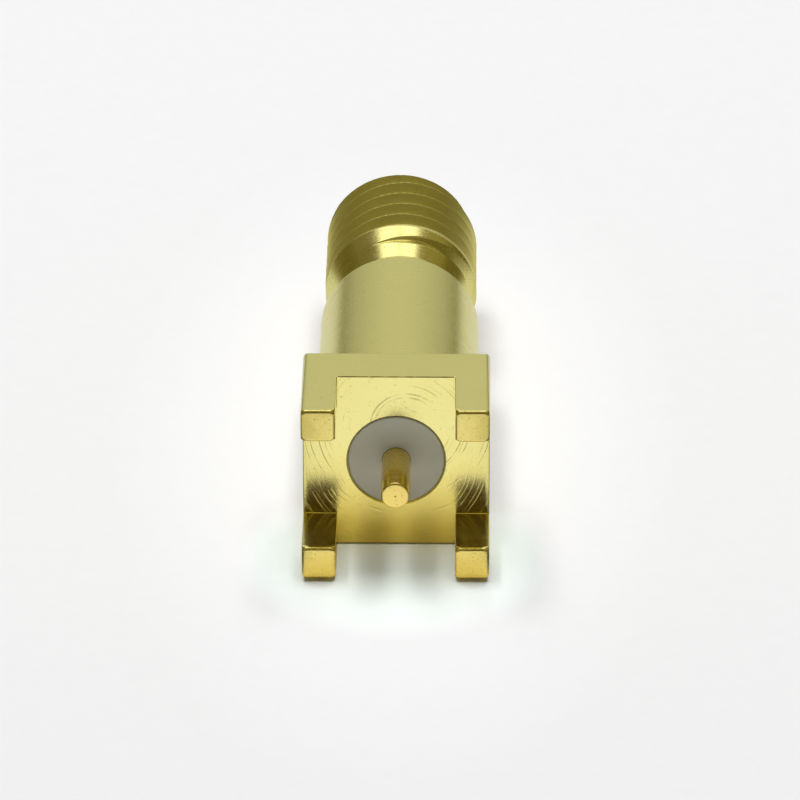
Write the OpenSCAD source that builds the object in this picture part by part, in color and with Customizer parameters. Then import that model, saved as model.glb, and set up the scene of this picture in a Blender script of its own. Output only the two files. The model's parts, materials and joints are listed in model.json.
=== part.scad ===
// Straight threaded coaxial jack for a printed board, lying on its side.
// The axis runs along +Y: the board seats at y = 0, the legs and the solder tail point to -Y,
// and the threaded mating end points to +Y. All sizes are in millimetres.

/* [Square flange] */
// Side of the square flange
flange_w = 5.65; // [5.3:0.05:7.5]
// Thickness of the flange along the axis
flange_t = 1.62; // [1:0.02:3]
// Radius on the four long corners of the square stock
corner_r = 0.14; // [0.06:0.02:0.3]

/* [Board legs] */
// Side of each square leg
leg_w = 1.03; // [0.6:0.01:1.1]
// Length of the legs in front of the board face
leg_l = 2.32; // [1:0.02:4]
// Bevel round the end of each leg
leg_bevel = 0.1; // [0.04:0.01:0.2]

/* [Barrel] */
// Diameter of the plain barrel
barrel_d = 4.95; // [4.85:0.01:5.2]
// Length of the plain barrel behind the flange
barrel_l = 7.56; // [4:0.02:15]
// Edge break at the end of the plain barrel
barrel_edge = 0.05; // [0.02:0.01:0.15]

/* [Thread relief] */
// Diameter at the bottom of the relief groove
relief_d = 3.9; // [3.8:0.01:4.5]
// Width of the groove between the barrel and the first thread, with its ramp
relief_w = 2.02; // [1.45:0.01:2.5]
// Slope of the ramp that leads from the groove up to the thread, in degrees
relief_ramp = 28; // [20:1:60]

/* [Coupling thread] */
// Major diameter of the coupling thread
thread_d = 4.83; // [4.7:0.01:4.84]
// Length of the thread, with its ramp left out and its end bevel included
thread_l = 4.53; // [3:0.01:8]
// Bevel at the open end of the thread
thread_bevel = 0.2; // [0.1:0.01:0.3]

/* [Bore] */
// Diameter of the insulator seat, open to the board face
seat_d = 2.94; // [2.85:0.01:3.1]
// Depth of the insulator seat
seat_l = 3; // [1:0.05:5]
// Edge break where the seat opens in the board face
seat_edge = 0.045; // [0.02:0.005:0.1]
// Inner diameter of the outer conductor
line_d = 2.79; // [2.6:0.01:2.83]
// Diameter of the mating counterbore
mate_d = 3.28; // [3.1:0.01:3.5]
// Depth of the mating counterbore, down to the reference plane
mate_l = 1.9; // [1.2:0.05:2.5]
// Bevel at the mouth of the counterbore
mouth_bevel = 0.15; // [0.05:0.01:0.25]

/* [Insulator] */
// Edge break on the insulator's rim at the board face
insulator_edge = 0.045; // [0.02:0.005:0.1]

/* [Centre contact] */
// Diameter of the contact and its solder tail
contact_d = 0.86; // [0.8:0.01:0.95]
// Length of the solder tail in front of the board face
tail_l = 2.35; // [1:0.05:4]
// Bevel at the tip of the solder tail
tail_bevel = 0.03; // [0.02:0.01:0.15]
// Diameter of the barb that holds the contact in the insulator
barb_d = 1.1; // [1:0.01:1.3]
// Length of the barb
barb_l = 0.45; // [0.2:0.05:0.8]
// Distance from the board face to the start of the barb
barb_y = 5.5; // [3:0.1:6]
// Diameter of the spring socket
socket_d = 0.54; // [0.45:0.01:0.6]
// Depth of the spring socket
socket_l = 1.8; // [1.2:0.05:2.5]
// Lead-in bevel at the mouth of the socket
socket_bevel = 0.05; // [0.02:0.01:0.08]
// Width of the slots that divide the socket into spring fingers
slot_w = 0.12; // [0.08:0.01:0.16]
// Length of the slots
slot_l = 1.5; // [0.8:0.05:2]

/* [Fits] */
// Clearance on the radius between the nested pieces
fit_gap = 0.01; // [0.005:0.005:0.03]

/* [Hidden] */
$fn = 96;
overshoot = 0.3;
drill_half_angle = 59;
gold = "#d9c877";
contact_gold = "#c9b25c";
ptfe = "#d8d6cc";

flange_r = flange_w / 2;
barrel_r = barrel_d / 2;
relief_r = relief_d / 2;
thread_r = thread_d / 2;
seat_r = seat_d / 2;
line_r = line_d / 2;
mate_r = mate_d / 2;
contact_r = contact_d / 2;
barb_r = barb_d / 2;
socket_r = socket_d / 2;

// Places along the axis, counted from the board face
barrel_end = flange_t + barrel_l;
thread_start = barrel_end + relief_w;
front = thread_start + thread_l;
reference = front - mate_l;
ramp_start = thread_start - (thread_r - relief_r) / tan(relief_ramp);
barb_end = barb_y + barb_l;
socket_end = reference - socket_l;

// Half the clear space between two neighbouring legs
leg_gap_r = flange_r - leg_w;

// Turns a shape drawn up the Z axis so that it points along +Y
module along_axis() {
    rotate([-90, 0, 0])
        children();
}

// Turns a half-section, given as [radius, place along the axis], round the axis
module revolved(section) {
    along_axis()
        rotate_extrude()
            polygon(section);
}

// Draws a side outline, given as [across, place along the axis], through the flange in both directions
module cross_extruded(outline, turn) {
    rotate([0, turn, 0])
        linear_extrude(flange_w + 2 * overshoot, center = true)
            polygon(outline);
}

// Section of the square stock with its rounded corners
module stock_section() {
    flat = flange_w - 2 * corner_r;
    square([flange_w, flat], center = true);
    square([flat, flange_w], center = true);
    for (x = [-1, 1], y = [-1, 1])
        translate([x * flat / 2, y * flat / 2])
            circle(corner_r);
}

// Square stock from the leg ends to the back of the flange, with the outer edges of its end bevelled
module stock() {
    far = flange_r + overshoot;
    tip = flange_r - leg_bevel;
    side = [
        [-far, flange_t + overshoot], [far, flange_t + overshoot],
        [far, far - tip - leg_l], [tip, -leg_l],
        [-tip, -leg_l], [-far, far - tip - leg_l]
    ];
    intersection() {
        translate([0, -leg_l, 0])
            along_axis()
                linear_extrude(leg_l + flange_t)
                    stock_section();
        cross_extruded(side, 0);
        cross_extruded(side, 90);
    }
}

// The crossing channels that leave a leg at each corner, with a bevelled mouth
module leg_channels() {
    mouth = leg_gap_r + leg_bevel + overshoot;
    channel = [
        [-leg_gap_r, 0], [leg_gap_r, 0],
        [leg_gap_r, leg_bevel - leg_l], [mouth, -leg_l - overshoot],
        [-mouth, -leg_l - overshoot], [-leg_gap_r, leg_bevel - leg_l]
    ];
    for (turn = [0, 90])
        cross_extruded(channel, turn);
}

// Plain barrel, relief groove and thread blank as one turned form
module turned_barrel() {
    revolved([
        [0, flange_t / 2], [barrel_r, flange_t / 2],
        [barrel_r, barrel_end - barrel_edge], [barrel_r - barrel_edge, barrel_end],
        [relief_r, barrel_end], [relief_r, ramp_start],
        [thread_r, thread_start], [thread_r, front - thread_bevel],
        [thread_r - thread_bevel, front], [0, front]
    ]);
}

// Insulator seat, line and mating counterbore, drilled right through
module stepped_bore() {
    revolved([
        [0, -overshoot], [seat_r + seat_edge + overshoot, -overshoot],
        [seat_r, seat_edge], [seat_r, seat_l],
        [line_r, seat_l], [line_r, reference],
        [mate_r, reference], [mate_r, front - mouth_bevel],
        [mate_r + mouth_bevel + overshoot, front + overshoot], [0, front + overshoot]
    ]);
}

// One-piece outer conductor: flange, legs, barrel and thread
module body() {
    color(gold)
        difference() {
            union() {
                stock();
                turned_barrel();
            }
            leg_channels();
            stepped_bore();
        }
}

// Insulator, flush with the board face and with the reference plane
module insulator() {
    hole_r = contact_r + fit_gap;
    barb_hole_r = barb_r + fit_gap;
    rim_r = seat_r - fit_gap;
    stem_r = line_r - fit_gap;
    color(ptfe)
        revolved([
            [hole_r, 0], [rim_r - insulator_edge, 0],
            [rim_r, insulator_edge], [rim_r, seat_l],
            [stem_r, seat_l], [stem_r, reference],
            [hole_r, reference], [hole_r, barb_end + fit_gap],
            [barb_hole_r, barb_end + fit_gap], [hole_r, barb_y]
        ]);
}

// Turned contact: solder tail, barb and slotted spring socket
module centre_contact() {
    drill_tip = socket_r / tan(drill_half_angle);
    color(contact_gold)
        difference() {
            revolved([
                [0, -tail_l], [contact_r - tail_bevel, -tail_l],
                [contact_r, tail_bevel - tail_l], [contact_r, barb_y],
                [barb_r, barb_end], [contact_r, barb_end],
                [contact_r, reference], [socket_r + socket_bevel, reference],
                [socket_r, reference - socket_bevel], [socket_r, socket_end],
                [0, socket_end - drill_tip]
            ]);
            for (turn = [0, 90])
                rotate([0, turn, 0])
                    translate([0, reference, 0])
                        cube([slot_w, 2 * slot_l, contact_d + 2 * overshoot], center = true);
        }
}

body();
insulator();
centre_contact();
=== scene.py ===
# %% [markdown]
# # A threaded coaxial jack for a printed board
# The real part is one turned and milled brass body with gold plating, a white PTFE insulator
# pressed into it, and a slim contact on its axis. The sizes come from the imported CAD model,
# which is loaded first and never moved. Everything that follows dresses that model.

# %% Load the frame
import json
import math
import bmesh
import bpy
from mathutils import Matrix, Vector, noise

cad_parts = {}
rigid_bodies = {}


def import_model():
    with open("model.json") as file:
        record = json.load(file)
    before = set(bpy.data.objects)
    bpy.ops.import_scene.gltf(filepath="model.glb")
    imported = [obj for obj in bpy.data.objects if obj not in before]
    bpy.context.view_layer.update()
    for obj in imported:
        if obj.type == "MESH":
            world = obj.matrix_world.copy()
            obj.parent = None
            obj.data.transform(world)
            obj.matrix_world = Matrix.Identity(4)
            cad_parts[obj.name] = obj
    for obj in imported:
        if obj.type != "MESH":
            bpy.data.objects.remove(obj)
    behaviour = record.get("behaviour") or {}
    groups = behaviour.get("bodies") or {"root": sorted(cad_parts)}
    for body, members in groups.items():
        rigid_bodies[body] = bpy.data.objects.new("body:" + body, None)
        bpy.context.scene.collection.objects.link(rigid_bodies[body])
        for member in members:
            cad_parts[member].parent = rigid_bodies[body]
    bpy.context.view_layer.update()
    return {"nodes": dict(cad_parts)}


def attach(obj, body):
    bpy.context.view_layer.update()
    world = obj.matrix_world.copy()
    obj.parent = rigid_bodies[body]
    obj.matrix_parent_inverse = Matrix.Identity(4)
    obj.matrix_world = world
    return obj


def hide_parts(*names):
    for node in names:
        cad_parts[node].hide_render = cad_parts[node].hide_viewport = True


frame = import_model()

MM = 0.001

# %% [markdown]
# ## The camera
# The photograph is taken from the board side, about 27 degrees above the axis, with a long lens.
# A camera can be placed by eye, or solved from a few known corners. Here the angles and the focal
# length are solved values, and the roll is applied about the line of sight.

# %% Place the camera
VIEW_UP, VIEW_YAW, VIEW_ROLL = (math.radians(angle) for angle in (26.648, -0.712, -0.083))
VIEW_DISTANCE = 200
FOCAL_LENGTH, SENSOR_WIDTH, NEAREST = 292.05, 36, 0.01
AIM = Vector((0, 4, 0))
AIM_RIGHT, AIM_UP = 0.067, 0.035

forward = Vector((
    math.sin(VIEW_YAW) * math.cos(VIEW_UP),
    math.cos(VIEW_YAW) * math.cos(VIEW_UP),
    -math.sin(VIEW_UP),
))
level_right = forward.cross(Vector((0, 0, 1))).normalized()
level_up = level_right.cross(forward)
right = math.cos(VIEW_ROLL) * level_right + math.sin(VIEW_ROLL) * level_up
up = right.cross(forward)
camera_data = bpy.data.cameras.new("photo_camera")
camera_data.lens = FOCAL_LENGTH
camera_data.sensor_width = SENSOR_WIDTH
camera_data.clip_start = NEAREST
camera = bpy.data.objects.new("photo_camera", camera_data)
bpy.context.scene.collection.objects.link(camera)
eye = AIM - VIEW_DISTANCE * forward + AIM_RIGHT * right + AIM_UP * up
facing_jack = Matrix((right, up, -forward)).transposed().to_4x4()
camera.matrix_world = Matrix.Translation(eye * MM) @ facing_jack
bpy.context.scene.camera = camera
bpy.context.scene.view_settings.view_transform = "Standard"
print("camera at", [round(v, 4) for v in camera.location])

# %% [markdown]
# ## Helpers for shaders
# Colours are written as sRGB hex values, as a picture editor shows them, and one function turns
# them to the linear values that a shader needs. Another adds one node with its settings and links.
# A Mix node of colours takes its factor and its two colours in sockets 0, 6 and 7 and gives the
# result in output 2.

# %% Colour and node helpers
def linear(hex_colour):
    """Linear RGBA of an sRGB hex value."""
    parts = [int(hex_colour[i:i + 2], 16) / 255 for i in (1, 3, 5)]
    return [c / 12.92 if c <= 0.04045 else ((c + 0.055) / 1.055) ** 2.4 for c in parts] + [1.0]


def add_node(tree, kind, inputs=(), **settings):
    """Adds a node with its settings. inputs are pairs of a socket and a value or output for it."""
    node = tree.nodes.new(kind)
    for name, value in settings.items():
        setattr(node, name, value)
    for socket, value in inputs:
        if isinstance(value, bpy.types.NodeSocket):
            tree.links.new(value, node.inputs[socket])
        else:
            node.inputs[socket].default_value = value
    return node


def empty_material(name):
    """A new material with an empty node tree."""
    material = bpy.data.materials.new(name)
    material.use_nodes = True
    material.node_tree.nodes.clear()
    return material


print("helpers ready")

# %% [markdown]
# ## The flange and its legs
# The board end is milled from square stock: two crossing channels leave a leg at each corner.
# It could be cut with booleans, but a grid of three by three cells already holds every line of it:
# the corner cells are extruded as legs, the middle cell is opened for the bore, and the outer edge
# is extruded back to make the flange. The tips of the legs come later.

# %% Lay out the grid
FLANGE_HALF, FLANGE_BACK = 2.825, 1.62
LEG_INNER, LEG_LENGTH, TIP_LENGTH = 1.795, 2.32, 0.2
LEG_SHANK = LEG_LENGTH - TIP_LENGTH
TINY = 1e-4


def near(a, b):
    """True where two sizes in millimetres are the same."""
    return abs(a - b) < TINY


def only_verts(parts):
    """The points among the parts of a mesh."""
    return [part for part in parts if isinstance(part, bmesh.types.BMVert)]


bm = bmesh.new()
upright = Matrix.Rotation(math.pi / 2, 4, "X")
bmesh.ops.create_grid(bm, x_segments=3, y_segments=3, size=FLANGE_HALF, matrix=upright)
for vert in bm.verts:
    for axis in (0, 2):
        if abs(vert.co[axis]) < FLANGE_HALF - TINY:
            vert.co[axis] = math.copysign(LEG_INNER, vert.co[axis])
print("grid of", len(bm.faces), "cells")

# %% [markdown]
# ## From the grid to the flange
# The cells are told apart by where their middles are. The board face stays where it is, so the outer
# edge is extruded backwards and the corner cells forwards. Where a leg carries on a side of the
# flange, the seam between them is dissolved, because a bevel would stop at it.

# %% Mill the flange and legs
middle = min(bm.faces, key=lambda f: f.calc_center_median().length)
corners = [
    f for f in bm.faces
    if all(abs(f.calc_center_median()[axis]) > LEG_INNER for axis in (0, 2))
]
outer = [e for e in bm.edges if e.is_boundary]
bmesh.ops.delete(bm, geom=[middle], context="FACES_ONLY")
back = only_verts(bmesh.ops.extrude_edge_only(bm, edges=outer)["geom"])
bmesh.ops.translate(bm, vec=(0, FLANGE_BACK, 0), verts=back)
legs = bmesh.ops.extrude_discrete_faces(bm, faces=corners)["faces"]
leg_ends = list({v for f in legs for v in f.verts})
bmesh.ops.translate(bm, vec=(0, -LEG_SHANK, 0), verts=leg_ends)
bmesh.ops.recalc_face_normals(bm, faces=bm.faces)
seams = [
    e for e in bm.edges
    if len(e.link_faces) == 2 and e.calc_face_angle() < TINY
    and any(all(near(abs(v.co[axis]), FLANGE_HALF) for v in e.verts) for axis in (0, 2))
]
bmesh.ops.dissolve_edges(bm, edges=seams, use_verts=True)
print("flange and legs:", len(bm.faces), "faces")

# %% [markdown]
# ## A lathe in two functions
# Both turned pieces start as a half-section, which is a row of points on one side of the axis. A
# Screw modifier could turn it, but a spin in the mesh lets later steps pick and bevel its edges. Its
# last step lands on the first, so the doubled seam is merged.

# %% Set up the lathe
def draw_section(bm, section):
    """Draws a half-section, given as pairs of a radius and a place along the axis."""
    verts = [bm.verts.new((radius, place, 0)) for radius, place in section]
    edges = [bm.edges.new(pair) for pair in zip(verts, verts[1:])]
    return verts, edges


def spin_round(bm, parts, steps):
    """Spins parts of a mesh once round the axis and closes the seam."""
    bmesh.ops.spin(
        bm, geom=parts, axis=(0, 1, 0), cent=(0, 0, 0), dvec=(0, 0, 0),
        angle=math.tau, steps=steps, use_merge=True, use_duplicate=False,
    )
    bmesh.ops.remove_doubles(bm, verts=bm.verts, dist=TINY)


print("lathe ready")

# %% [markdown]
# ## The turned barrel and bore
# Everything round on the body is turned, so it is one half-section spun about the axis: barrel,
# relief groove, ramp and thread blank on the outside, then the mating counterbore, the line and
# the insulator's seat on the way back to the board face. The ramp is a little gentler than the
# CAD model's, as the highlights on the real one show. The stretch under the thread is cut into
# fine rows before the spin, because the thread is pressed into them later.

# %% Spin the half-section
BARREL_R, BARREL_END = 2.475, 9.18
RELIEF_R, THREAD_R = 1.95, 2.415
RAMP_START, THREAD_START, FRONT = 10.33, 11.6, 15.73
THREAD_BEVEL, MOUTH_BEVEL = 0.2, 0.15
MATE_R, REFERENCE = 1.64, 13.83
LINE_R, SEAT_R, SEAT_DEPTH, SEAT_EDGE = 1.395, 1.47, 3.0, 0.045
SEGMENTS = 160
ROW = 0.0125
section_verts, section_edges = draw_section(bm, [
    (BARREL_R, FLANGE_BACK), (BARREL_R, BARREL_END), (RELIEF_R, BARREL_END),
    (RELIEF_R, RAMP_START), (THREAD_R, THREAD_START), (THREAD_R, FRONT - THREAD_BEVEL),
    (THREAD_R - THREAD_BEVEL, FRONT), (MATE_R + MOUTH_BEVEL, FRONT), (MATE_R, FRONT - MOUTH_BEVEL),
    (MATE_R, REFERENCE), (LINE_R, REFERENCE), (LINE_R, SEAT_DEPTH), (SEAT_R, SEAT_DEPTH),
    (SEAT_R, SEAT_EDGE), (SEAT_R + SEAT_EDGE, 0),
])
threaded = [
    e for e in section_edges
    if all(v.co.y > RAMP_START - TINY and v.co.x > MATE_R + MOUTH_BEVEL + TINY for v in e.verts)
]
spun = set(section_verts) | set(section_edges)
for edge in threaded:
    cuts = int(edge.calc_length() / ROW)
    spun.update(bmesh.ops.subdivide_edges(bm, edges=[edge], cuts=cuts)["geom_split"])
spun = [g for g in spun if g.is_valid and not isinstance(g, bmesh.types.BMFace)]
spin_round(bm, spun, SEGMENTS)
print("with the turned part:", len(bm.faces), "faces")

# %% [markdown]
# ## Joining the square to the round
# The flange has two openings, the square outline at its back and the square middle cell in its
# front. Bridging unlike loops can twist, so each square is divided into as many edges as the lathe
# work has round its axis, at even angles. Its edges are extruded and drawn in to the radius of the
# circle, where they merge with the turned skin. The body is then one closed piece, as the real
# one is.

# %% Join the openings
def edges_where(bm, test):
    """The edges whose two ends both pass a test on their place."""
    return [e for e in bm.edges if all(test(v.co) for v in e.verts)]


def square(half, place):
    """The open edges of the square outline of that half width at that place along the axis."""
    around = edges_where(
        bm, lambda co: near(co.y, place) and near(max(abs(co.x), abs(co.z)), half),
    )
    return [e for e in around if e.is_boundary]


def draw_in(half, radius, place):
    """Closes the face between a square opening and a circle inside it."""
    for edge in square(half, place):
        bmesh.ops.subdivide_edges(bm, edges=[edge], cuts=SEGMENTS // 4 - 1)
    outline = square(half, place)
    for vert in {v for e in outline for v in e.verts}:
        for axis in (0, 2):
            if abs(vert.co[axis]) < half - TINY:
                vert.co[axis] = half * math.tan(vert.co[axis] / half * math.pi / 4)
    for vert in only_verts(bmesh.ops.extrude_edge_only(bm, edges=outline)["geom"]):
        share = radius / math.hypot(vert.co.x, vert.co.z)
        vert.co.x *= share
        vert.co.z *= share


def open_edges(bm):
    """How many edges don't join exactly two faces."""
    return sum(len(e.link_faces) != 2 for e in bm.edges)


draw_in(FLANGE_HALF, BARREL_R, FLANGE_BACK)
draw_in(LEG_INNER, SEAT_R + SEAT_EDGE, 0)
bmesh.ops.remove_doubles(bm, verts=bm.verts, dist=TINY)
bmesh.ops.recalc_face_normals(bm, faces=bm.faces)
print("body:", len(bm.faces), "faces,", open_edges(bm), "open edges")

# %% [markdown]
# ## The coupling thread
# The thread is a groove of 60 degree form that winds to the right as it goes away from the board.
# A screw modifier could wind one tooth, but its ends would hang open. Here the rows of the turned
# skin are pressed in as far as a threading tool would cut. Towards the relief the tool is drawn
# back on a slant, so the last turn of the groove gets shallow and ends as a nick in the ramp.

# %% Shape the groove
PITCH = 0.79
CREST_FLAT, DEPTH = 0.012, 0.48
FLANK_SLOPE = math.tan(math.radians(30))
ROUNDING = 0.03
# one root of the groove, the place from which it is full, and how the tool is drawn back before it
ROOT_AT, FULL_FROM = 11.31, 11.67
DRAW_BACK, DRAW_ASIDE = 0.6, 1.57


def soft_floor(value, reach):
    """value, but never below 0, with a rounded corner of that reach."""
    if value <= -reach:
        return 0
    if value >= reach:
        return value
    return (value + reach) ** 2 / (4 * reach)


def tool_radius(place, turn):
    """The radius that the threading tool leaves, from the grooves on either side of a place."""
    turns = (place - ROOT_AT) / PITCH - turn / math.tau
    radius = THREAD_R
    for count in (math.floor(turns), math.ceil(turns)):
        root = ROOT_AT + (count + turn / math.tau) * PITCH
        lift = DRAW_BACK * max(FULL_FROM - root, 0)
        from_crest = PITCH / 2 - abs(place - root + lift * DRAW_ASIDE) - CREST_FLAT / 2
        groove = soft_floor(from_crest / (DEPTH * FLANK_SLOPE), ROUNDING)
        groove = 1 - soft_floor(1 - groove, ROUNDING)
        radius = min(radius, THREAD_R - DEPTH * groove + lift)
    return radius


print("groove", DEPTH, "mm deep every", PITCH, "mm")

# %% [markdown]
# ## Pressing the thread in
# Each point of the fine rows moves towards the axis, down to the radius that the tool leaves there.
# Points that already lie deeper stay where they are, such as those of the bevel at the open end.

# %% Press in the thread
pressed = 0
for vert in bm.verts:
    radius = math.hypot(vert.co.x, vert.co.z)
    if vert.co.y > RAMP_START + TINY and radius > MATE_R + MOUTH_BEVEL + TINY:
        cut = tool_radius(vert.co.y, math.atan2(vert.co.x, vert.co.z))
        if cut < radius:
            vert.co.x *= cut / radius
            vert.co.z *= cut / radius
            pressed += 1
print("thread:", pressed, "points pressed in")

# %% [markdown]
# ## Picking edges
# The edges to round are found by their place: along a corner, round a circle, or wherever two faces
# meet at about a right angle. Picking them by number would break with every change of the shape.

# %% Pick and soften edges
SQUARE_FROM = math.radians(60)
RING_SLACK, OFF_BARREL = 0.002, 0.1


def soften(edges, width, segments):
    """Rounds edges by that width."""
    bmesh.ops.bevel(
        bm, geom=edges, offset=width, offset_type="OFFSET", affect="EDGES",
        segments=segments, profile=0.5, material=-1, clamp_overlap=True,
    )
    print("softened", len(edges), "edges by", width, "mm")


def square_edges(test):
    """The edges of about 90 degrees whose two ends pass a test."""
    return [e for e in edges_where(bm, test) if e.calc_face_angle(0) > SQUARE_FROM]


def ring(radius, place):
    """The edges of the circle of that radius at that place along the axis."""
    return edges_where(
        bm, lambda co: near(co.y, place) and abs(math.hypot(co.x, co.z) - radius) < RING_SLACK,
    )


def off_barrel(co):
    """True for a place that is clear of the barrel's foot."""
    return max(abs(co.x), abs(co.z)) > BARREL_R + OFF_BARREL


print("edge tools ready")

# %% [markdown]
# ## Softer edges
# No machined edge is perfectly sharp, and plating rounds it a little more. Bevels catch the lamps
# as thin bright lines, which is most of what makes metal look real. A bevel modifier would round
# all edges alike, so each kind gets its own width here. The widest come first: the long corners of
# the stock, then the sides of the board face, and last the fine edges and the roots.

# %% Bevel the edges
# each is a width in millimetres and a number of segments
STOCK_CORNER, FACE_SIDE, FACE_EDGE, BACK_EDGE = (0.14, 5), (0.12, 5), (0.06, 4), (0.05, 3)
BARREL_FOOT, BARREL_LIP, RELIEF_ROOT, MOUTH_LIP = (0.06, 3), (0.05, 3), (0.04, 2), (0.03, 2)
BURR_CUTS = 70
soften(edges_where(
    bm, lambda co: near(abs(co.x), FLANGE_HALF) and near(abs(co.z), FLANGE_HALF),
), *STOCK_CORNER)
soften(square_edges(lambda co: near(abs(co.x), FLANGE_HALF) and near(co.y, 0)), *FACE_SIDE)
top_edge = edges_where(bm, lambda co: near(co.z, FLANGE_HALF) and near(co.y, 0))
bmesh.ops.subdivide_edges(bm, edges=top_edge, cuts=BURR_CUTS)
board_side = square_edges(lambda co: co.y < TINY)
soften([e for e in board_side if any(v.co.y > TINY - LEG_SHANK for v in e.verts)], *FACE_EDGE)
soften(square_edges(lambda co: near(co.y, FLANGE_BACK) and off_barrel(co)), *BACK_EDGE)
soften(ring(BARREL_R, FLANGE_BACK), *BARREL_FOOT)
soften(ring(BARREL_R, BARREL_END), *BARREL_LIP)
soften(ring(RELIEF_R, BARREL_END), *RELIEF_ROOT)
soften(ring(MATE_R + MOUTH_BEVEL, FRONT), *MOUTH_LIP)

# %% [markdown]
# ## A torn edge
# Where the cutter left the metal, it tore the top edge of the board face a little. That edge was
# divided before its bevel, so noise can now push the rows inside the bevel inwards. The outer rows
# stay, because a face that meets a moved point would no longer be flat.

# %% Tear the top edge
BURR_SIZE, BURR_HEIGHT, BURR_REACH = 0.09, 0.2, 0.07
INWARDS = Vector((0, 0.7, -0.7))
burred = 0
for vert in bm.verts:
    inside = vert.co.y > TINY and vert.co.z < FLANGE_HALF - TINY
    at_edge = math.hypot(vert.co.y, vert.co.z - FLANGE_HALF) < BURR_REACH
    if inside and at_edge and abs(vert.co.x) < LEG_INNER - BURR_SIZE:
        vert.co += INWARDS * BURR_HEIGHT * abs(noise.noise(vert.co / BURR_SIZE))
        burred += 1
print("burr on the top edge:", burred, "points")

# %% [markdown]
# ## Leg tips
# The legs are sawn to length and tumbled, so their tips are rounded like a worn eraser. Bevels that
# meet would fight for each corner. Instead the tips are grown in rings: the end faces are taken
# away and their outlines are extruded a little at a time, with the corners drawn in to an arc and
# then the rim rolled inwards. The last ring is filled.

# %% Plan the rings
TIP_CORNER, TIP_RIM = 0.16, 0.09
CORNER_RINGS, RIM_RINGS = 3, 5
LEG_MIDDLE, LEG_HALF = (FLANGE_HALF + LEG_INNER) / 2, (FLANGE_HALF - LEG_INNER) / 2


def rounded(across, inset, corner):
    """A point of a leg's outline, moved in by an inset and onto a square with round corners."""
    half = LEG_HALF - inset
    point = across * half / LEG_HALF
    inner = Vector([max(corner - half, min(half - corner, part)) for part in point])
    outwards = point - inner
    return inner + outwards * min(1, corner / max(outwards.length, TINY))


# each ring is a distance from the shank, an inset and a corner radius
steps = [(TIP_LENGTH - TIP_RIM) * step / CORNER_RINGS for step in range(1, CORNER_RINGS + 1)]
rings = [(ahead, 0, TIP_CORNER * ahead / steps[-1]) for ahead in steps]
for step in range(1, RIM_RINGS + 1):
    roll = math.pi / 2 * step / RIM_RINGS
    inset = TIP_RIM * (1 - math.cos(roll))
    rings.append((TIP_LENGTH - TIP_RIM + TIP_RIM * math.sin(roll), inset, TIP_CORNER - inset))
print("tip of", len(rings), "rings")

# %% [markdown]
# ## Growing the tips
# All four outlines are extruded together, ring by ring. Each new point is placed from the outline of
# the shank that it came from, so the rings stay even and don't add up small errors.

# %% Grow the leg tips
SIDE_CUTS = 9
ends = [f for f in bm.faces if all(near(v.co.y, -LEG_SHANK) for v in f.verts)]
bmesh.ops.delete(bm, geom=ends, context="FACES_ONLY")
for edge in [e for e in bm.edges if e.is_boundary and e.calc_length() > LEG_HALF]:
    bmesh.ops.subdivide_edges(bm, edges=[edge], cuts=SIDE_CUTS)
rim = [e for e in bm.edges if e.is_boundary]
outline = {
    v: Vector((abs(v.co.x) - LEG_MIDDLE, abs(v.co.z) - LEG_MIDDLE)) for e in rim for v in e.verts
}
for ahead, inset, corner in rings:
    grown = {}
    for vert in only_verts(bmesh.ops.extrude_edge_only(bm, edges=rim)["geom"]):
        others = [e.other_vert(vert) for e in vert.link_edges]
        before = next(other for other in others if other in outline)
        grown[vert] = outline[before]
        across = rounded(outline[before], inset, corner)
        vert.co.x = math.copysign(LEG_MIDDLE + across.x, vert.co.x)
        vert.co.y = -LEG_SHANK - ahead
        vert.co.z = math.copysign(LEG_MIDDLE + across.y, vert.co.z)
    outline = grown
    rim = [e for e in bm.edges if e.is_boundary]
bmesh.ops.holes_fill(bm, edges=rim, sides=0)
bmesh.ops.recalc_face_normals(bm, faces=bm.faces)
print("leg tips:", len(ends), "with", len(rings), "rings each")

# %% [markdown]
# ## One piece with six finishes
# The tools leave different marks on the board face, the sides, the turned parts, the thread, its
# run-out and the leg tips. Separate objects would show seams, so the body stays one mesh and its
# faces are sorted into material slots by where they are and which way they look.

# %% Sort the faces
END_MILLED, SIDE_MILLED, TURNED, THREAD_CUT, SAWN, RUN_OUT = range(6)
RUN_OUT_FROM = 11.15
LOOKS_TO_BOARD, LEANS_TO_BOARD = -0.7, -0.2
for face in bm.faces:
    centre = face.calc_center_median()
    radius = math.hypot(centre.x, centre.z)
    if centre.y > RUN_OUT_FROM and radius > MATE_R + MOUTH_BEVEL:
        face.material_index = THREAD_CUT if centre.y > THREAD_START else RUN_OUT
    elif centre.y > FLANGE_BACK + TINY or radius < SEAT_R + SEAT_EDGE:
        face.material_index = TURNED
    elif centre.y < -LEG_SHANK and face.normal.y < LEANS_TO_BOARD:
        face.material_index = SAWN
    elif face.normal.y < LOOKS_TO_BOARD:
        face.material_index = END_MILLED
    else:
        face.material_index = SIDE_MILLED
print("sorted", len(bm.faces), "faces")

# %% [markdown]
# ## From mesh to object
# Edges over 40 degrees stay sharp and the rest is smooth, with a weighted normal modifier that
# keeps flats flat next to small bevels. The back of the flange is shaded flat, because its many
# narrow faces would take a tilt from the bevel round them.

# %% Make the outer conductor
SHARP_FROM = math.radians(40)


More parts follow.
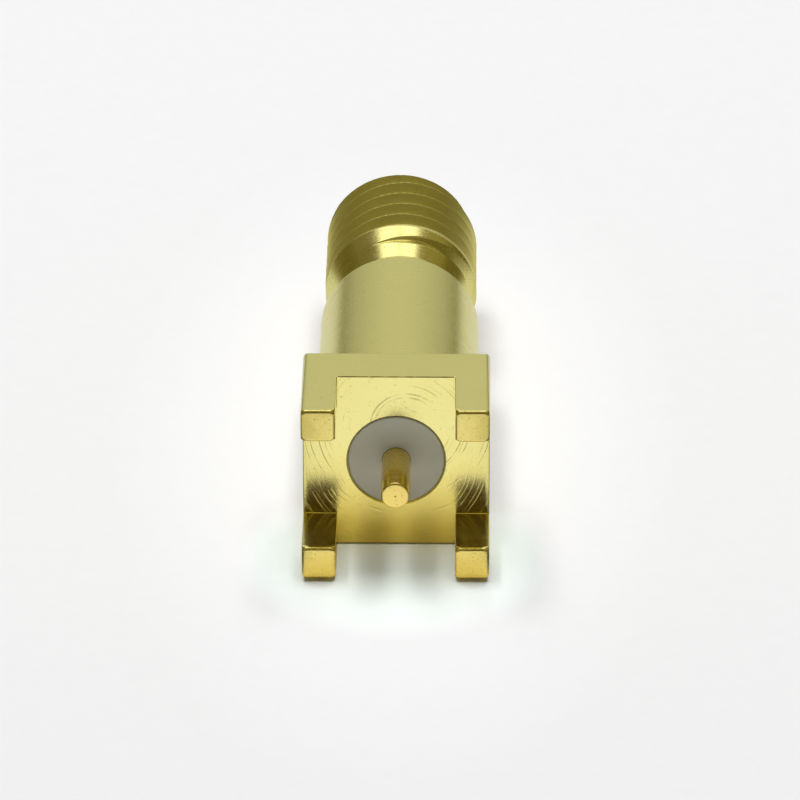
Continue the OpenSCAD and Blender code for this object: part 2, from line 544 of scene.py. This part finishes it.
def make_piece(bm, name):
    """An object in metres from a mesh in millimetres."""
    bmesh.ops.recalc_face_normals(bm, faces=bm.faces)
    print(name, "has", len(bm.faces), "faces and", open_edges(bm), "open edges")
    bmesh.ops.scale(bm, vec=(MM, MM, MM), verts=bm.verts)
    mesh = bpy.data.meshes.new(name)
    bm.to_mesh(mesh)
    bm.free()
    mesh.set_sharp_from_angle(angle=SHARP_FROM)
    for polygon in mesh.polygons:
        polygon.use_smooth = True
    piece = bpy.data.objects.new(name, mesh)
    bpy.context.scene.collection.objects.link(piece)
    even = piece.modifiers.new("flat_stays_flat", "WEIGHTED_NORMAL")
    even.keep_sharp = True
    return piece


body = make_piece(bm, "outer_conductor")
for polygon in body.data.polygons:
    if near(polygon.center.y / MM, FLANGE_BACK):
        polygon.use_smooth = False
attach(body, "root")
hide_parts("body")

# %% [markdown]
# ## The centre contact
# The contact is turned from one rod: a plain tail for the solder, a barb that grips the insulator,
# and a drilled socket. The CAD model breaks the tail's edge with a flat bevel. A rounded edge shows
# the lamp above it as a small spark, so the rod is spun again with an arc there, and with the small
# dimple that a lathe leaves on the centre.

# %% Turn the contact
CONTACT_R, TAIL, TAIL_ROUND, TAIL_STEPS = 0.43, 2.35, 0.07, 6
CENTRE_MARK_R, CENTRE_MARK_DEPTH = 0.035, 0.03
BARB_R, BARB_START, BARB_END = 0.55, 5.5, 5.95
SOCKET_R, SOCKET_BEVEL, SOCKET_DEPTH = 0.27, 0.05, 1.8
SOCKET_END = REFERENCE - SOCKET_DEPTH
DRILL_HALF_ANGLE = math.radians(59)
DRILL_TIP = SOCKET_R / math.tan(DRILL_HALF_ANGLE)
ROD_SEGMENTS = 96

rod_section = [(0, CENTRE_MARK_DEPTH - TAIL), (CENTRE_MARK_R, -TAIL)]
for step in range(TAIL_STEPS + 1):
    roll = math.pi / 2 * step / TAIL_STEPS
    from_side = TAIL_ROUND * (1 - math.sin(roll))
    from_end = TAIL_ROUND * (1 - math.cos(roll))
    rod_section.append((CONTACT_R - from_side, from_end - TAIL))
rod_section += [
    (CONTACT_R, BARB_START), (BARB_R, BARB_END), (CONTACT_R, BARB_END), (CONTACT_R, REFERENCE),
    (SOCKET_R + SOCKET_BEVEL, REFERENCE), (SOCKET_R, REFERENCE - SOCKET_BEVEL),
    (SOCKET_R, SOCKET_END), (0, SOCKET_END - DRILL_TIP),
]
bm = bmesh.new()
section_verts, section_edges = draw_section(bm, rod_section)
spin_round(bm, section_verts + section_edges, ROD_SEGMENTS)
bmesh.ops.recalc_face_normals(bm, faces=bm.faces)
print("contact:", len(bm.faces), "faces")

# %% [markdown]
# ## The spring socket
# The socket's mouth is slit crosswise into four springs that grip a plug's pin. A boolean could cut
# the slots, but it leaves slivers on such small walls. Here planes cut the skin along the slots, and
# the strips between them are deleted.

# %% Slit the socket
SLOT_HALF, SLOT_LENGTH = 0.06, 1.5
SLOT_FOOT = REFERENCE - SLOT_LENGTH
CUT_MERGE = 1e-6


def slice_rod(place, normal):
    """Cuts the faces of the socket along a plane."""
    faces = [f for f in bm.faces if any(v.co.y > SLOT_FOOT + TINY for v in f.verts)]
    parts = {v for f in faces for v in f.verts} | {e for f in faces for e in f.edges} | set(faces)
    bmesh.ops.bisect_plane(
        bm, geom=list(parts), dist=CUT_MERGE, plane_co=place, plane_no=normal,
    )


def in_slot(face):
    """True for a face that lies in one of the crossing slots."""
    centre = face.calc_center_median()
    return centre.y > SLOT_FOOT and min(abs(centre.x), abs(centre.z)) < SLOT_HALF


slice_rod((0, SLOT_FOOT, 0), (0, 1, 0))
for side in (-SLOT_HALF, SLOT_HALF):
    slice_rod((side, 0, 0), (1, 0, 0))
    slice_rod((0, 0, side), (0, 0, 1))
strips = [f for f in bm.faces if in_slot(f)]
print("socket slit through", len(strips), "faces")
bmesh.ops.delete(bm, geom=strips, context="FACES")

# %% [markdown]
# ## The walls of the slots
# The deleted strips leave open rims. On each arm of the cross, two new edges along the foot of the
# slot close its two walls, and the floor is filled between them. The contact is then a closed piece
# again and becomes an object.

# %% Close the slots
for across, out in ((0, 2), (2, 0)):
    for end in (-1, 1):
        rims = [e for e in bm.edges if e.is_boundary]
        rims = [e for e in rims if all(v.co[out] * end > SLOT_HALF + TINY for v in e.verts)]
        for side in (-SLOT_HALF, SLOT_HALF):
            wall = [e for e in rims if all(near(v.co[across], side) for v in e.verts)]
            foot = [v for v in {v for e in wall for v in e.verts} if near(v.co.y, SLOT_FOOT)]
            corner = bm.edges.new(foot)
            rims.append(corner)
            bmesh.ops.contextual_create(bm, geom=wall + [corner])
        slot_floor = [e for e in rims if all(near(v.co.y, SLOT_FOOT) for v in e.verts)]
        bmesh.ops.contextual_create(bm, geom=slot_floor)

contact = make_piece(bm, "turned_contact")
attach(contact, "root")
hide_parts("centre_contact")

# %% [markdown]
# ## Lines and pits
# Plating is thin, so it keeps the marks of the tools below it: fine lines where the metal was
# milled or turned, and a few pits. They could be painted on an image, but noise that is stretched
# has no seams and keeps its size in millimetres on every face.

# %% Draw lines and pits
# real lines lie about 0.01 mm apart, too fine to show, so they are drawn a few times coarser
PIT_SIZE, PIT_EDGE = 0.07, 0.08


def tool_lines(tree, place, marks):
    """Fine straight lines as a height. marks is the size of one line in mm along X, Y and Z."""
    stretched = add_node(tree, "ShaderNodeMapping", [
        ("Vector", place), ("Scale", [1 / (size * MM) for size in marks]),
    ])
    return add_node(tree, "ShaderNodeTexNoise", [
        ("Vector", stretched.outputs[0]), ("Scale", 1), ("Detail", 3), ("Roughness", 0.6),
    ]).outputs[0]


def pits(tree, place, least):
    """Small pits where a noise is over its least value, as 1 in a pit and 0 elsewhere."""
    grains = add_node(tree, "ShaderNodeTexNoise", [
        ("Vector", place), ("Scale", 1 / (PIT_SIZE * MM)), ("Detail", 1),
    ])
    return add_node(tree, "ShaderNodeMapRange", [
        ("Value", grains.outputs[0]), ("From Min", least), ("From Max", least + PIT_EDGE),
    ]).outputs[0]


print("lines and pits ready")

# %% [markdown]
# ## Arcs
# An end mill leaves arcs round the place where it turned. A Wave texture would make them all alike,
# so noise along the distance from a centre is used, which gives rings of uneven strength. A second
# noise shows them only in patches, as where the cutter touched again.

# %% Draw arcs
ARC_THIN, ARC_THICK, PATCH_EDGE = 0.6, 0.72, 0.14


def mill_arcs(tree, place, centre, spacing, patch, least):
    """Broken arcs round a centre, as 1 in a mark. They show where a noise is over its least value."""
    across, up = (-part / spacing for part in centre)
    per_arc = 1 / (spacing * MM)
    flat = add_node(tree, "ShaderNodeMapping", [
        ("Vector", place), ("Location", (across, 0, up)), ("Scale", (per_arc, 0, per_arc)),
    ])
    reach = add_node(tree, "ShaderNodeVectorMath", [(0, flat.outputs[0])], operation="LENGTH")
    rings = add_node(tree, "ShaderNodeTexNoise", [
        ("W", reach.outputs["Value"]), ("Scale", 1), ("Detail", 1),
    ], noise_dimensions="1D")
    thin = add_node(tree, "ShaderNodeMapRange", [
        ("Value", rings.outputs[0]), ("From Min", ARC_THIN), ("From Max", ARC_THICK),
    ])
    patches = add_node(tree, "ShaderNodeTexNoise", [
        ("Vector", place), ("Scale", 1 / (patch * MM)), ("Detail", 2),
    ])
    broken = add_node(tree, "ShaderNodeMapRange", [
        ("Value", patches.outputs[0]), ("From Min", least), ("From Max", least + PATCH_EDGE),
    ])
    return add_node(tree, "ShaderNodeMath", [
        (0, thin.outputs[0]), (1, broken.outputs[0]),
    ], operation="MULTIPLY").outputs[0]


print("arcs ready")

# %% [markdown]
# ## Marks of the end mill
# Two cuts show on the board face. Deep dark arcs lie above the bore, round a centre of their own.
# Shallow ones, round the axis, show only beside the lower legs, where the face mirrors the dark
# side of the legs and each ridge catches a lamp.

# %% Mark the board face
DEEP_ARCS = {"centre": (0.31, 1.17), "spacing": 0.07, "patch": 0.9, "least": 0.5}
FACING_ARCS = {"centre": (0, 0), "spacing": 0.09, "patch": 1.3, "least": 0.38}
FACING_DEPTH = 5
FACING_TOP, FACING_FULL = -0.35, -0.95
FACING_INNER, FACING_OUTER = 1.5, 1.9


def end_marks(tree, place, deep, lines):
    """The deep marks and the fine lines of a surface, with the arcs of an end mill added."""
    arcs = mill_arcs(tree, place, **DEEP_ARCS)
    deep = add_node(tree, "ShaderNodeMath", [(0, deep), (1, arcs)], operation="MAXIMUM")
    facing = mill_arcs(tree, place, **FACING_ARCS)
    where = add_node(tree, "ShaderNodeSeparateXYZ", [("Vector", place)])
    low = add_node(tree, "ShaderNodeMapRange", [
        ("Value", where.outputs["Z"]), ("To Max", FACING_DEPTH),
        ("From Min", FACING_TOP * MM), ("From Max", FACING_FULL * MM),
    ])
    aside = add_node(tree, "ShaderNodeMath", [(0, where.outputs["X"])], operation="ABSOLUTE")
    by_legs = add_node(tree, "ShaderNodeMapRange", [
        ("Value", aside.outputs[0]), ("To Max", low.outputs[0]),
        ("From Min", FACING_INNER * MM), ("From Max", FACING_OUTER * MM),
    ])
    lines = add_node(tree, "ShaderNodeMath", [
        (0, facing), (1, by_legs.outputs[0]), (2, lines),
    ], operation="MULTIPLY_ADD")
    return deep.outputs[0], lines.outputs[0]


print("end mill ready")

# %% [markdown]
# ## Gold plate
# Thin hard gold over nickel and brass is paler than jewellery, and a little green in the grey
# parts. One plain gold would look like paint, so each finish is the same metal with its own marks.
# Lines change the height and the roughness, and deep marks are darker as well.

# %% Mix the gold plate
GOLD_MARKED, MARKED_SHARE = "#7A6A30", 0.3
CLOUD_SIZE = 1.6
LINE_HEIGHT, MARK_DEPTH = 0.0015, -2
LINES_LOW, LINES_HIGH, ROUGHNESS_SPREAD = 0.3, 0.7, 0.05


def gold_plate(name, tones, marks, roughness, pits_over=0.7, milled_end=False):
    """Gold plate of two tones with fine tool lines and pits, and with mill arcs on a milled end."""
    material = empty_material(name)
    tree = material.node_tree
    place = add_node(tree, "ShaderNodeTexCoord").outputs["Object"]
    lines = tool_lines(tree, place, marks)
    deep = pits(tree, place, pits_over)
    if milled_end:
        deep, lines = end_marks(tree, place, deep, lines)
    clouds = add_node(tree, "ShaderNodeTexNoise", [
        ("Vector", place), ("Scale", 1 / (CLOUD_SIZE * MM)), ("Detail", 3), ("Roughness", 0.6),
    ])
    clean = add_node(tree, "ShaderNodeMix", [
        (0, clouds.outputs[0]), (6, linear(tones[0])), (7, linear(tones[1])),
    ], data_type="RGBA")
    shown = add_node(tree, "ShaderNodeMapRange", [("Value", deep), ("To Max", MARKED_SHARE)])
    tone = add_node(tree, "ShaderNodeMix", [
        (0, shown.outputs[0]), (6, clean.outputs[2]), (7, linear(GOLD_MARKED)),
    ], data_type="RGBA")
    satin = add_node(tree, "ShaderNodeMapRange", [
        ("Value", lines), ("From Min", LINES_LOW), ("From Max", LINES_HIGH),
        ("To Min", roughness - ROUGHNESS_SPREAD), ("To Max", roughness + ROUGHNESS_SPREAD),
    ])
    height = add_node(tree, "ShaderNodeMath", [
        (0, deep), (1, MARK_DEPTH), (2, lines),
    ], operation="MULTIPLY_ADD")
    relief = add_node(tree, "ShaderNodeBump", [
        ("Height", height.outputs[0]), ("Strength", 1), ("Distance", LINE_HEIGHT * MM),
    ])
    shader = add_node(tree, "ShaderNodeBsdfPrincipled", [
        ("Base Color", tone.outputs[2]), ("Metallic", 1), ("Roughness", satin.outputs[0]),
        ("Normal", relief.outputs[0]),
    ])
    add_node(tree, "ShaderNodeOutputMaterial", [("Surface", shader.outputs[0])])
    return material


print("gold plate ready")

# %% [markdown]
# ## Six finishes and the contact
# The order of the body's finishes is that of its material slots. The sizes of a line are given
# along X, Y and Z: long along the cut, short across it, and equal where the surface is only grainy.

# %% Plate the pieces
BODY_GOLD, DULL_GOLD = ("#F7EEA0", "#F2E694"), ("#F1E08C", "#E6D278")
CONTACT_GOLD = ("#F4DE86", "#EED272")
for finish in (
    # an even satin with the arcs of the end mill
    gold_plate("gold_plate_end_milled", BODY_GOLD, (0.05, 1, 0.05), 0.2, milled_end=True),
    # straight fine lines, nearly a mirror
    gold_plate("gold_plate_side_milled", BODY_GOLD, (1.5, 0.035, 1.5), 0.17),
    # fine rings that widen a highlight along the barrel
    gold_plate("gold_plate_turned", BODY_GOLD, (1.5, 0.035, 1.5), 0.24),
    # slightly torn flanks, the most matte of all
    gold_plate("gold_plate_thread", BODY_GOLD, (0.06, 0.06, 0.06), 0.42),
    # a tumbled saw cut, duller and more pitted
    gold_plate("gold_plate_sawn", DULL_GOLD, (0.12, 0.12, 0.12), 0.25, pits_over=0.67),
    # a light last cut, smoother than the thread, so that the lamps stay sharp in it
    gold_plate("gold_plate_run_out", BODY_GOLD, (0.06, 0.06, 0.06), 0.27),
):
    body.data.materials.append(finish)
# a redder gold on the rod, with faint rings and more pits
contact.data.materials.append(
    gold_plate("gold_plate_contact", CONTACT_GOLD, (1, 0.12, 1), 0.24, pits_over=0.66),
)
for name, piece in (("body", body), ("centre_contact", contact)):
    for slot in frame["nodes"][name].material_slots:
        slot.material = piece.data.materials[0]
print("gold finishes:", [m.name for m in body.data.materials])

# %% [markdown]
# ## PTFE
# The insulator is turned from white PTFE, matte and waxy. Its base is an off-white grey, darker
# than the plastic, which paints in part of the shade of the flange on it. Its CAD shape is right, so
# it only gets a finish. A soft cloud of tone and faint turning rings keep it from looking like paint.

# %% PTFE finish
# off-white greys, which paint in part of the flange's shade; the cloud between them is random tone
PTFE_LIGHT, PTFE_DARK, PTFE_CLOUD = "#D0CEBA", "#C2C0AC", 0.8
PTFE_ROUGHNESS, PTFE_IOR = 0.55, 1.35
TURNING_RING, RING_HEIGHT = 0.07, 0.004
ptfe = empty_material("ptfe_turned")
tree = ptfe.node_tree
place = add_node(tree, "ShaderNodeTexCoord").outputs["Object"]
clouds = add_node(tree, "ShaderNodeTexNoise", [
    ("Vector", place), ("Scale", 1 / (PTFE_CLOUD * MM)), ("Detail", 3),
])
tone = add_node(tree, "ShaderNodeMix", [
    (0, clouds.outputs[0]), (6, linear(PTFE_LIGHT)), (7, linear(PTFE_DARK)),
], data_type="RGBA")
flat = add_node(tree, "ShaderNodeMapping", [("Vector", place), ("Scale", (1, 0, 1))])
reach = add_node(tree, "ShaderNodeVectorMath", [(0, flat.outputs[0])], operation="LENGTH")
rings = add_node(tree, "ShaderNodeTexNoise", [
    ("W", reach.outputs["Value"]), ("Scale", 1 / (TURNING_RING * MM)), ("Detail", 2),
], noise_dimensions="1D")
relief = add_node(tree, "ShaderNodeBump", [
    ("Height", rings.outputs[0]), ("Strength", 1), ("Distance", RING_HEIGHT * MM),
])
shader = add_node(tree, "ShaderNodeBsdfPrincipled", [
    ("Base Color", tone.outputs[2]), ("Roughness", PTFE_ROUGHNESS), ("IOR", PTFE_IOR),
    ("Normal", relief.outputs[0]),
])
add_node(tree, "ShaderNodeOutputMaterial", [("Surface", shader.outputs[0])])
for slot in frame["nodes"]["insulator"].material_slots:
    slot.material = ptfe
print("insulator:", ptfe.name)

# %% [markdown]
# ## The floor
# The jack lies on white card. It rests on the back edge of its flange and on the rim of its thread,
# which is thinner. The jack can't be moved in its frame, so the card is tilted by that small angle
# and touches both.

# %% Lay the floor
TILT = math.atan2(FLANGE_HALF - THREAD_R, FRONT - THREAD_BEVEL - FLANGE_BACK)
CARD_HALF = 2.0
floor_bm = bmesh.new()
bmesh.ops.create_grid(floor_bm, x_segments=1, y_segments=1, size=CARD_HALF)
tilted = Matrix.Rotation(TILT, 3, "X")
bmesh.ops.rotate(floor_bm, cent=(0, 0, 0), matrix=tilted, verts=floor_bm.verts)
heel = Vector((0, FLANGE_BACK, -FLANGE_HALF)) * MM
bmesh.ops.translate(floor_bm, vec=heel, verts=floor_bm.verts)
floor_mesh = bpy.data.meshes.new("white_card")
floor_bm.to_mesh(floor_mesh)
floor_bm.free()
floor = bpy.data.objects.new("white_card", floor_mesh)
bpy.context.scene.collection.objects.link(floor)
print("floor tilted by", round(math.degrees(TILT), 2), "degrees")

# %% [markdown]
# ## Distances on the card
# Light and shade are painted on the card close to the jack. They could be painted on an image, but
# distances are enough: to either side of the axis, along it from the middle of the legs, and from the
# whole jack as an oval.

# %% Measure the card
LEGS_MIDDLE, JACK_MIDDLE, OVAL = -1, 6.7, 0.42
card = empty_material("white_card")
tree = card.node_tree
place = add_node(tree, "ShaderNodeTexCoord").outputs["Object"]
behind_face = add_node(tree, "ShaderNodeSeparateXYZ", [("Vector", place)]).outputs["Y"]
from_legs = add_node(tree, "ShaderNodeMapping", [
    ("Vector", place), ("Location", (0, -LEGS_MIDDLE * MM, 0)),
]).outputs[0]
away = add_node(tree, "ShaderNodeVectorMath", [(0, from_legs)], operation="ABSOLUTE")
away = add_node(tree, "ShaderNodeSeparateXYZ", [("Vector", away.outputs[0])])
aside, along = away.outputs["X"], away.outputs["Y"]
reach = add_node(tree, "ShaderNodeVectorMath", [(0, from_legs)], operation="LENGTH")
oval = add_node(tree, "ShaderNodeMapping", [
    ("Vector", place), ("Location", (0, -JACK_MIDDLE * OVAL * MM, 0)), ("Scale", (1, OVAL, 0)),
])
from_jack = add_node(tree, "ShaderNodeVectorMath", [(0, oval.outputs[0])], operation="LENGTH")
print("card measured from the legs at", LEGS_MIDDLE, "mm and the jack at", JACK_MIDDLE, "mm")

# %% [markdown]
# ## Soft masks
# A distance becomes a mask that has its most at one place and falls to 0 at another. A Map Range
# node does that alone. Where the most is itself an earlier mask, the result is the two multiplied,
# so no Math nodes are needed.

# %% Mask the card
GLOW_FULL, GLOW_GONE = 2.9, 5.8
masks = {}
# the first four masks shape the painted light that the camera sees; the rest shape the painted light
# and shade that the metal mirrors
# each row is a mask's name, its distance, the sizes in mm where it is full and where it is gone,
# and its most
for name, distance, full, gone, most in (
    ("leg_roots", behind_face, -0.2, -1.4, 1),
    ("along_legs", along, 1, 12, 1),
    ("among_legs", aside, 2.7, 3.7, "along_legs"),
    ("round_jack", from_jack.outputs["Value"], 4, 9, 1),
    ("before_face", aside, 2.8, 3.6, 1),
    ("painted_gold_light", along, 0, 5.5, "before_face"),
    ("beside_face", aside, 3.6, 2.8, 1),
    ("past_flange", aside, 4.2, 3, 0.9),
    ("dim_aside", aside, 4.2, 45, "past_flange"),
    ("dim", along, 4.5, 7, "dim_aside"),
    ("far_aside", aside, 27, 17, 1),
):
    masks[name] = add_node(tree, "ShaderNodeMapRange", [
        ("Value", distance), ("From Min", full * MM), ("From Max", gone * MM),
        ("To Min", masks.get(most, most)), ("To Max", 0),
    ]).outputs[0]
# the painted light round the legs fades smoothly, so that no rim shows
glow = add_node(tree, "ShaderNodeMapRange", [
    ("Value", reach.outputs["Value"]), ("From Min", GLOW_FULL * MM), ("From Max", GLOW_GONE * MM),
    ("To Min", 1), ("To Max", 0),
], interpolation_type="SMOOTHSTEP")
print("masks:", list(masks))

# %% [markdown]
# ## The card as the camera sees it
# Only the colour that the camera sees is raised, as more light would burn out the metal. It is
# painted light: it lightens the card, most of all over the jack's shadow round the legs and under
# the flange, with a faint green tint, and leaves the card a little darker far out. Between the tips
# of the legs the card keeps its shade.

# %% Show the card to the camera
# painted light: factors on the card's colour, seen only by the camera, that lift the shade near the leg
# roots and the shadow beside the legs, and a darker tone far out
BETWEEN_TIPS, BETWEEN_ROOTS = (0.99, 1.06, 1.0, 1), (1.38, 1.47, 1.39, 1)
AROUND_LEGS = (1.75, 2.12, 2.06, 1)
BESIDE_JACK, FAR = (0.975, 0.975, 0.985, 1), (0.91, 0.91, 0.91, 1)
FIBRE, FIBRE_DARK, FIBRE_LIGHT = 0.6, 0.98, 1.01
between = add_node(tree, "ShaderNodeMix", [
    (0, masks["leg_roots"]), (6, BETWEEN_TIPS), (7, BETWEEN_ROOTS),
], data_type="RGBA")
at_legs = add_node(tree, "ShaderNodeMix", [
    (0, masks["among_legs"]), (6, AROUND_LEGS), (7, between.outputs[2]),
], data_type="RGBA")
open_card = add_node(tree, "ShaderNodeMix", [
    (0, masks["round_jack"]), (6, FAR), (7, BESIDE_JACK),
], data_type="RGBA")
whitened = add_node(tree, "ShaderNodeMix", [
    (0, glow.outputs[0]), (6, open_card.outputs[2]), (7, at_legs.outputs[2]),
], data_type="RGBA")
fibres = add_node(tree, "ShaderNodeTexNoise", [
    ("Vector", place), ("Scale", 1 / (FIBRE * MM)), ("Detail", 4),
])
grain = add_node(tree, "ShaderNodeMapRange", [
    ("Value", fibres.outputs[0]), ("To Min", FIBRE_DARK), ("To Max", FIBRE_LIGHT),
])
seen = add_node(tree, "ShaderNodeVectorMath", [
    (0, whitened.outputs[2]), ("Scale", grain.outputs[0]),
], operation="SCALE")
print("card brightest at", AROUND_LEGS[:3])

# %% [markdown]
# ## The card as the metal sees it
# Polished metal is mostly a picture of its surroundings. The card that it mirrors is painted: golden
# in front of the board face, as painted light from the gold, and grey beside the flange and dark far
# out, as painted shade. Light Path tells the camera's rays, the mirrored ones and the rest apart.

# %% Show the card to the metal
# painted reflections: golden light before the face, and shade beside the flange and far out
CARD, CARD_ASIDE, CARD_GOLDEN = "#FFFFFF", "#D9DBCE", "#FAE89C"
CARD_DIM, CARD_FAR_SHADE = "#3C3C34", "#8C8660"
mirrored = linear(CARD)
for name, colour in (
    ("painted_gold_light", CARD_GOLDEN), ("beside_face", CARD_ASIDE),
    ("dim", CARD_DIM), ("far_aside", CARD_FAR_SHADE),
):
    mirrored = add_node(tree, "ShaderNodeMix", [
        (0, masks[name]), (6, mirrored), (7, linear(colour)),
    ], data_type="RGBA").outputs[2]
path = add_node(tree, "ShaderNodeLightPath")
shown = linear(CARD)
for ray, colour in (("Is Glossy Ray", mirrored), ("Is Camera Ray", seen.outputs["Vector"])):
    shown = add_node(tree, "ShaderNodeMix", [
        (0, path.outputs[ray]), (6, shown), (7, colour),
    ], data_type="RGBA").outputs[2]
shader = add_node(tree, "ShaderNodeBsdfDiffuse", [("Color", shown)])
add_node(tree, "ShaderNodeOutputMaterial", [("Surface", shader.outputs[0])])
floor_mesh.materials.append(card)
print("floor coloured with", len(tree.nodes), "nodes")

# %% [markdown]
# ## Studio light
# Two long lamps hang over the jack, and their reflections are the bright lines on its edges. Small
# hard lamps would leave dots instead. Two beams and a wide soft light fill the card and stay out of
# the reflections.

# %% Hang the lamps
LAMP_DISTANCE = 0.3


def hang(name, direction, width, length, power, reflected):
    """An area light that points at the jack from that direction."""
    data = bpy.data.lights.new(name, "AREA")
    data.shape = "RECTANGLE"
    data.size = width
    data.size_y = length
    data.energy = power
    towards = Vector(direction).normalized()
    across = Vector((1, 0, 0))
    across = (across - across.dot(towards) * towards).normalized()
    lamp = bpy.data.objects.new(name, data)
    bpy.context.scene.collection.objects.link(lamp)
    turn = Matrix((across, towards.cross(across), towards)).transposed().to_4x4()
    lamp.matrix_world = Matrix.Translation(towards * LAMP_DISTANCE) @ turn
    lamp.visible_glossy = reflected
    lamp.visible_camera = False
    print(name, "at", [round(v, 3) for v in lamp.location])


hang("left_lamp", (-0.25, 0.38, 1), 0.115, 0.19, 0.1, True)
hang("right_lamp", (0.17, 0.38, 1), 0.1, 0.19, 0.087, True)
hang("left_beam", (-0.31, 0.13, 1), 0.042, 0.19, 0.15, False)
hang("right_beam", (0.23, 0.13, 1), 0.042, 0.19, 0.15, False)
hang("fill_light", (0, 0.05, 1), 0.22, 0.22, 0.46, False)

# %% [markdown]
# ## Looking round the room
# Metal shows what is around it, so the world is a room and not one grey. An environment picture
# would do, but colours by height and soft round spots are easier to steer. For the world, the
# Generated coordinates are the direction in which a ray leaves.

# %% Aim at the room
world = bpy.data.worlds.new("grey_room")
bpy.context.scene.world = world
world.use_nodes = True
tree = world.node_tree
tree.nodes.clear()
direction = add_node(tree, "ShaderNodeTexCoord").outputs["Generated"]
height = add_node(tree, "ShaderNodeSeparateXYZ", [("Vector", direction)]).outputs["Z"]


def by_height(low, high, low_colour, high_colour):
    """A colour that changes between two heights, as shares of straight up."""
    climb = add_node(tree, "ShaderNodeMapRange", [
        ("Value", height), ("From Min", low), ("From Max", high),
    ])
    return add_node(tree, "ShaderNodeMix", [
        (0, climb.outputs[0]), (6, linear(low_colour)), (7, linear(high_colour)),
    ], data_type="RGBA").outputs[2]


def spot(azimuth, elevation, inner, outer):
    """1 within an angle of a direction, falling to 0 at the outer one. Azimuth 0 is behind the jack."""
    flat = math.cos(math.radians(elevation))
    turn = math.radians(azimuth)
    centre = (flat * math.sin(turn), flat * math.cos(turn), math.sin(math.radians(elevation)))
    aim = add_node(tree, "ShaderNodeVectorMath", [
        (0, direction), (1, centre),
    ], operation="DOT_PRODUCT")
    return add_node(tree, "ShaderNodeMapRange", [
        ("Value", aim.outputs["Value"]),
        ("From Min", math.cos(math.radians(outer))), ("From Max", math.cos(math.radians(inner))),
    ], interpolation_type="SMOOTHSTEP").outputs[0]


print("room:", world.name)

# %% [markdown]
# ## The room
# The wall gets lighter with its height. Over it come a dimmer ceiling, the corner on the right, the
# light backdrop low down behind the jack, and the dark side where the camera stands. Only mirrored
# rays see all this: the camera sees white paper, and the rest is even daylight.

# %% Paint the room
WALL_LOW, WALL_HIGH, CEILING = "#625A2A", "#969064", "#6A6238"
WALL_FROM, WALL_TO = 0.44, 0.58
BACKDROP_LOW, BACKDROP_HIGH, BACKDROP_TOP = "#9C9E87", "#D2D4C8", 0.6
RIGHT_CORNER, CAMERA_SIDE = "#867C46", "#2C1004"
DAYLIGHT, PAPER_WHITE = "#545454", "#FAFAFA"
room = by_height(WALL_FROM, WALL_TO, WALL_LOW, WALL_HIGH)
backdrop = by_height(0, BACKDROP_TOP, BACKDROP_LOW, BACKDROP_HIGH)
for mask, colour in (
    (spot(0, 55, 40, 55), linear(CEILING)),
    (spot(52, 42, 8, 22), linear(RIGHT_CORNER)),
    (spot(0, 20, 27, 42), backdrop),
    (spot(180, 25, 11, 16), linear(CAMERA_SIDE)),
):
    room = add_node(tree, "ShaderNodeMix", [
        (0, mask), (6, room), (7, colour),
    ], data_type="RGBA").outputs[2]
path = add_node(tree, "ShaderNodeLightPath")
shown = add_node(tree, "ShaderNodeBackground", [("Color", linear(DAYLIGHT))])
for ray, colour in (("Is Glossy Ray", room), ("Is Camera Ray", linear(PAPER_WHITE))):
    wall = add_node(tree, "ShaderNodeBackground", [("Color", colour)])
    shown = add_node(tree, "ShaderNodeMixShader", [
        (0, path.outputs[ray]), (1, shown.outputs[0]), (2, wall.outputs[0]),
    ])
add_node(tree, "ShaderNodeOutputWorld", [("Surface", shown.outputs[0])])
print("room painted with", len(tree.nodes), "nodes")
